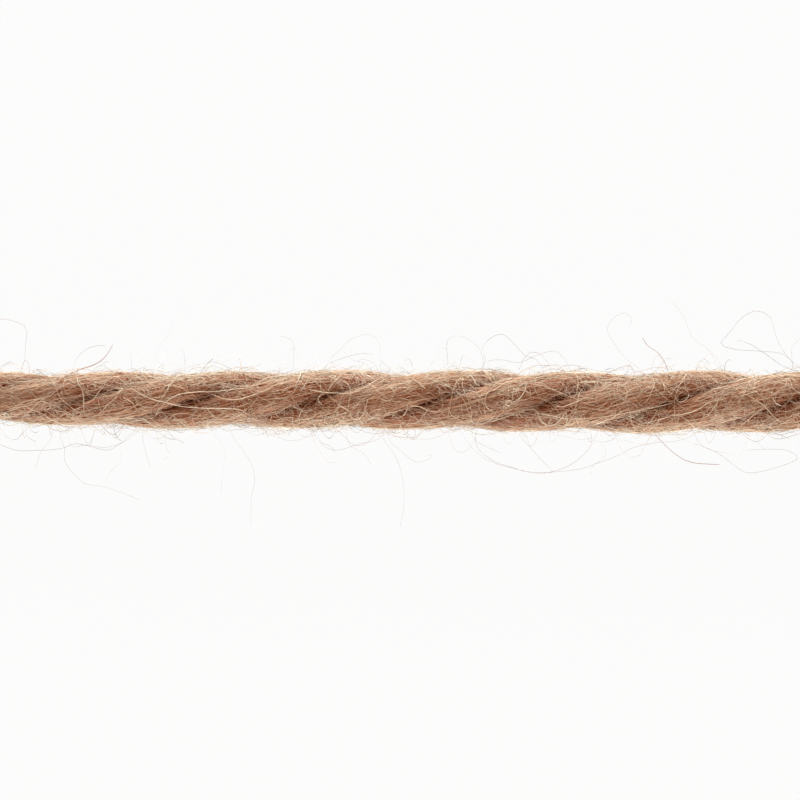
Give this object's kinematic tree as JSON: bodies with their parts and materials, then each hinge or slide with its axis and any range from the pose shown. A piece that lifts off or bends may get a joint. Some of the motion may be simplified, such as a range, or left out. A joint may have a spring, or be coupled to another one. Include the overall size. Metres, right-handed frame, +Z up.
{
  "type": "plied wool yarn strand",
  "caption": "Straight cut length of fuzzy brown wool knitting yarn, its plies twisted together, lying on a flat surface.",
  "frame": {"origin": "on the surface the yarn lies on, under the middle of its length", "axes": "+X along the yarn, +Y to the side, +Z up from the surface"},
  "size_m": [0.076, 0.0044, 0.0041],
  "materials": {
    "wool": "matte, fuzzy"
  },
  "bodies": {
    "root": {"ply_1": "wool", "ply_2": "wool", "ply_3": "wool"}
  },
  "joints": []
}
